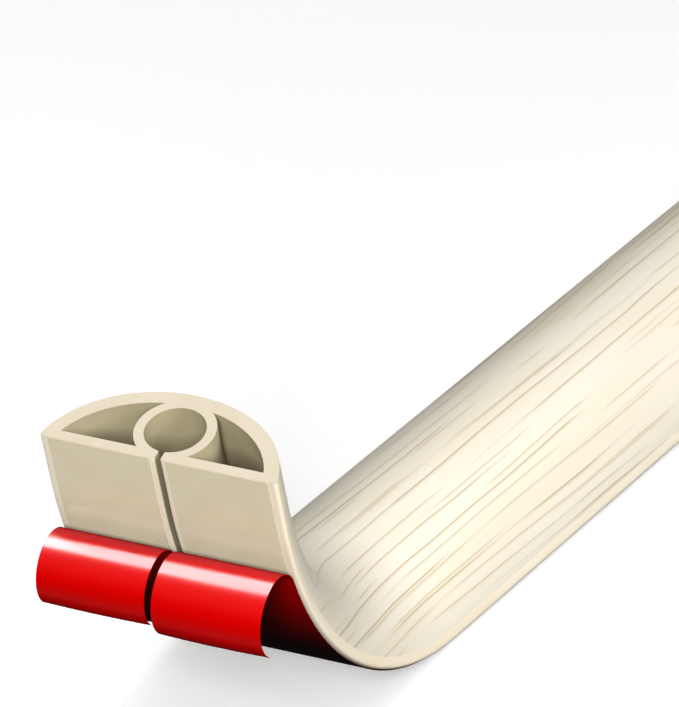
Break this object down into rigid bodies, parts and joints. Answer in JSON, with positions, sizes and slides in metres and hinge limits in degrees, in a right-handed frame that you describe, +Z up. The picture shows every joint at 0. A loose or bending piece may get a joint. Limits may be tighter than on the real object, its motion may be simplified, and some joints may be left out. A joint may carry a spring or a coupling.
{
  "type": "floor cord cover",
  "caption": "Soft PVC floor cord cover with a domed wood-look top, a slit cord channel and taped flat underside; one end is bent up with its release films peeled.",
  "frame": {"origin": "on the floor, under the middle of the whole part", "axes": "+Y along the strip away from its lifted end, +X across it to the right seen from that end, +Z up"},
  "size_m": [0.066, 0.9648, 0.0965],
  "materials": {
    "pvc_strip": "soft cream PVC, satin, with a pale wood-grain print on the dome",
    "adhesive_tape": "tan double-sided tape with a smooth, slightly glossy adhesive face",
    "release_film": "glossy red release film"
  },
  "bodies": {
    "root": {"cover_strip": "pvc_strip", "adhesive_tape_left": "adhesive_tape", "adhesive_tape_right": "adhesive_tape", "release_film_left": "release_film", "release_film_right": "release_film"}
  },
  "joints": []
}
